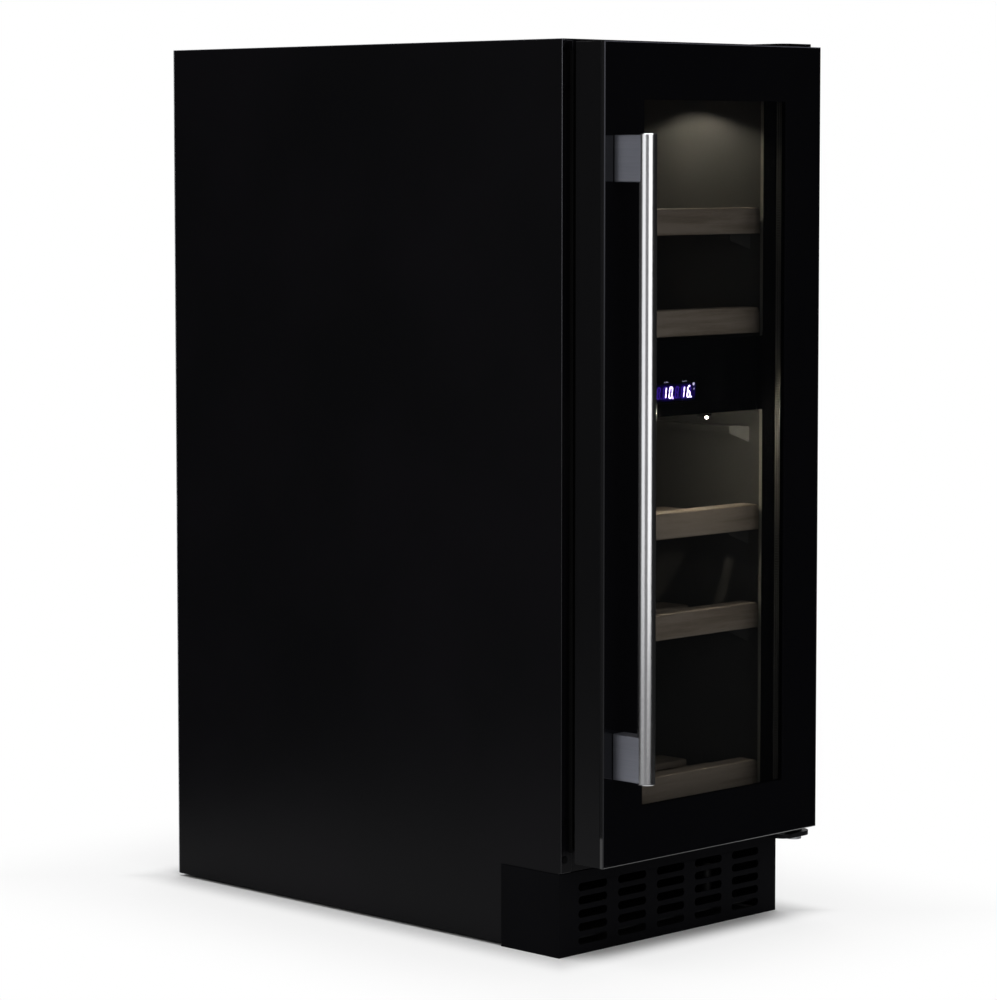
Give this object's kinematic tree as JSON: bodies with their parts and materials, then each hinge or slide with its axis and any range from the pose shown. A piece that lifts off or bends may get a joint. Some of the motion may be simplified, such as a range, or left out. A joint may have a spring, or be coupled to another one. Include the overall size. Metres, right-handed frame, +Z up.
{
  "type": "wine cooler",
  "caption": "Slim free-standing two-zone wine cooler with a tinted glass door, bar handle, slatted wooden shelves, a control strip between the zones and a slotted plinth.",
  "frame": {"origin": "on the floor, under the middle of the overall box", "axes": "+Z up, -Y towards the front where the door is, +X to the right of someone facing the door"},
  "size_m": [0.297, 0.6215, 0.82],
  "materials": {
    "black_painted_steel": "satin",
    "galvanised_sheet": "satin",
    "grey_liner_plastic": "satin",
    "insulating_foam": "matte",
    "gloss_black_plastic": "gloss",
    "smoked_display_window": "gloss",
    "black_plastic": "matte",
    "circuit_board": "satin",
    "frosted_light_lens": "satin",
    "evaporator_aluminium": "satin",
    "compressor_paint": "satin",
    "black_rubber": "matte",
    "pale_plastic": "satin",
    "copper_tube": "satin",
    "plain_steel": "satin",
    "tinted_glass": "gloss",
    "clear_glass": "gloss",
    "black_enamel": "gloss",
    "black_anodised_aluminium": "satin",
    "spacer_aluminium": "satin",
    "handle_steel": "satin",
    "shelf_wood": "satin"
  },
  "bodies": {
    "cabinet": {"left_side_panel": "black_painted_steel", "right_side_panel": "black_painted_steel", "top_panel": "black_painted_steel", "front_sill": "black_painted_steel", "plinth_grille": "black_painted_steel", "top_hinge_bracket": "black_painted_steel", "bottom_hinge_bracket": "black_painted_steel", "base_pan": "black_painted_steel", "back_panel": "galvanised_sheet", "machine_bay_cover": "galvanised_sheet", "upper_liner": "grey_liner_plastic", "lower_liner": "grey_liner_plastic", "shelf_runners": "grey_liner_plastic", "upper_duct_cover": "grey_liner_plastic", "lower_duct_cover": "grey_liner_plastic", "foam_insulation": "insulating_foam", "control_fascia": "gloss_black_plastic", "display_window": "smoked_display_window", "breaker_strips": "black_plastic", "divider_housing": "black_plastic", "fan_frames": "black_plastic", "terminal_box": "black_plastic", "mains_inlet": "black_plastic", "flange_plugs": "black_plastic", "control_board": "circuit_board", "light_lenses": "frosted_light_lens", "evaporators": "evaporator_aluminium", "compressor": "compressor_paint", "condenser_coil": "compressor_paint", "condenser_supports": "compressor_paint", "compressor_mounts": "black_rubber", "drip_tray": "pale_plastic", "drain_tube": "pale_plastic", "filter_drier": "copper_tube", "refrigerant_pipes": "copper_tube", "hinge_pins": "plain_steel", "hinge_screws": "plain_steel"},
    "door": {"front_glass": "tinted_glass", "glass_border": "black_enamel", "door_frame": "black_anodised_aluminium", "stile_end_plugs": "black_plastic", "glass_spacer": "spacer_aluminium", "inner_glass": "clear_glass", "glazing_bead": "black_plastic", "door_gasket": "black_rubber", "handle_bar": "handle_steel", "handle_brackets": "handle_steel", "handle_screws": "plain_steel"},
    "upper_fan": {"upper_fan_rotor": "black_plastic"},
    "lower_fan": {"lower_fan_rotor": "black_plastic"},
    "condenser_fan": {"condenser_fan_rotor": "black_plastic"},
    "front_left_levelling_foot": {"front_left_foot": "black_plastic"},
    "front_right_levelling_foot": {"front_right_foot": "black_plastic"},
    "back_left_levelling_foot": {"back_left_foot": "black_plastic"},
    "back_right_levelling_foot": {"back_right_foot": "black_plastic"},
    "sliding_shelf_1": {"shelf_1": "shelf_wood"},
    "sliding_shelf_2": {"shelf_2": "shelf_wood"},
    "sliding_shelf_3": {"shelf_3": "shelf_wood"},
    "sliding_shelf_4": {"shelf_4": "shelf_wood"},
    "sliding_shelf_5": {"shelf_5": "shelf_wood"}
  },
  "joints": [
    {"name": "door_hinge", "type": "hinge", "parent": "cabinet", "child": "door", "pos_m": [0.134, -0.25175, 0.45], "axis": [0, 0, 1], "range_deg": [0, 120]},
    {"name": "shelf_1_slide", "type": "slide", "parent": "cabinet", "child": "sliding_shelf_1", "axis": [0, -1, 0], "range_m": [0, 0.014]},
    {"name": "shelf_2_slide", "type": "slide", "parent": "cabinet", "child": "sliding_shelf_2", "axis": [0, -1, 0], "range_m": [0, 0.014]},
    {"name": "shelf_3_slide", "type": "slide", "parent": "cabinet", "child": "sliding_shelf_3", "axis": [0, -1, 0], "range_m": [0, 0.014]},
    {"name": "shelf_4_slide", "type": "slide", "parent": "cabinet", "child": "sliding_shelf_4", "axis": [0, -1, 0], "range_m": [0, 0.014]},
    {"name": "shelf_5_slide", "type": "slide", "parent": "cabinet", "child": "sliding_shelf_5", "axis": [0, -1, 0], "range_m": [0, 0.014]},
    {"name": "upper_fan_spin", "type": "hinge", "parent": "cabinet", "child": "upper_fan", "pos_m": [0, 0.24375, 0.717], "axis": [0, 1, 0], "continuous": true},
    {"name": "lower_fan_spin", "type": "hinge", "parent": "cabinet", "child": "lower_fan", "pos_m": [0, 0.24375, 0.412], "axis": [0, 1, 0], "continuous": true},
    {"name": "condenser_fan_spin", "type": "hinge", "parent": "cabinet", "child": "condenser_fan", "pos_m": [0.04, 0.14375, 0.0595], "axis": [0, 1, 0], "continuous": true},
    {"name": "front_left_levelling_foot_screw", "type": "slide", "parent": "cabinet", "child": "front_left_levelling_foot", "axis": [0, 0, -1], "range_m": [0, 0.02]},
    {"name": "front_right_levelling_foot_screw", "type": "slide", "parent": "cabinet", "child": "front_right_levelling_foot", "axis": [0, 0, -1], "range_m": [0, 0.02]},
    {"name": "back_left_levelling_foot_screw", "type": "slide", "parent": "cabinet", "child": "back_left_levelling_foot", "axis": [0, 0, -1], "range_m": [0, 0.02]},
    {"name": "back_right_levelling_foot_screw", "type": "slide", "parent": "cabinet", "child": "back_right_levelling_foot", "axis": [0, 0, -1], "range_m": [0, 0.02]}
  ]
}
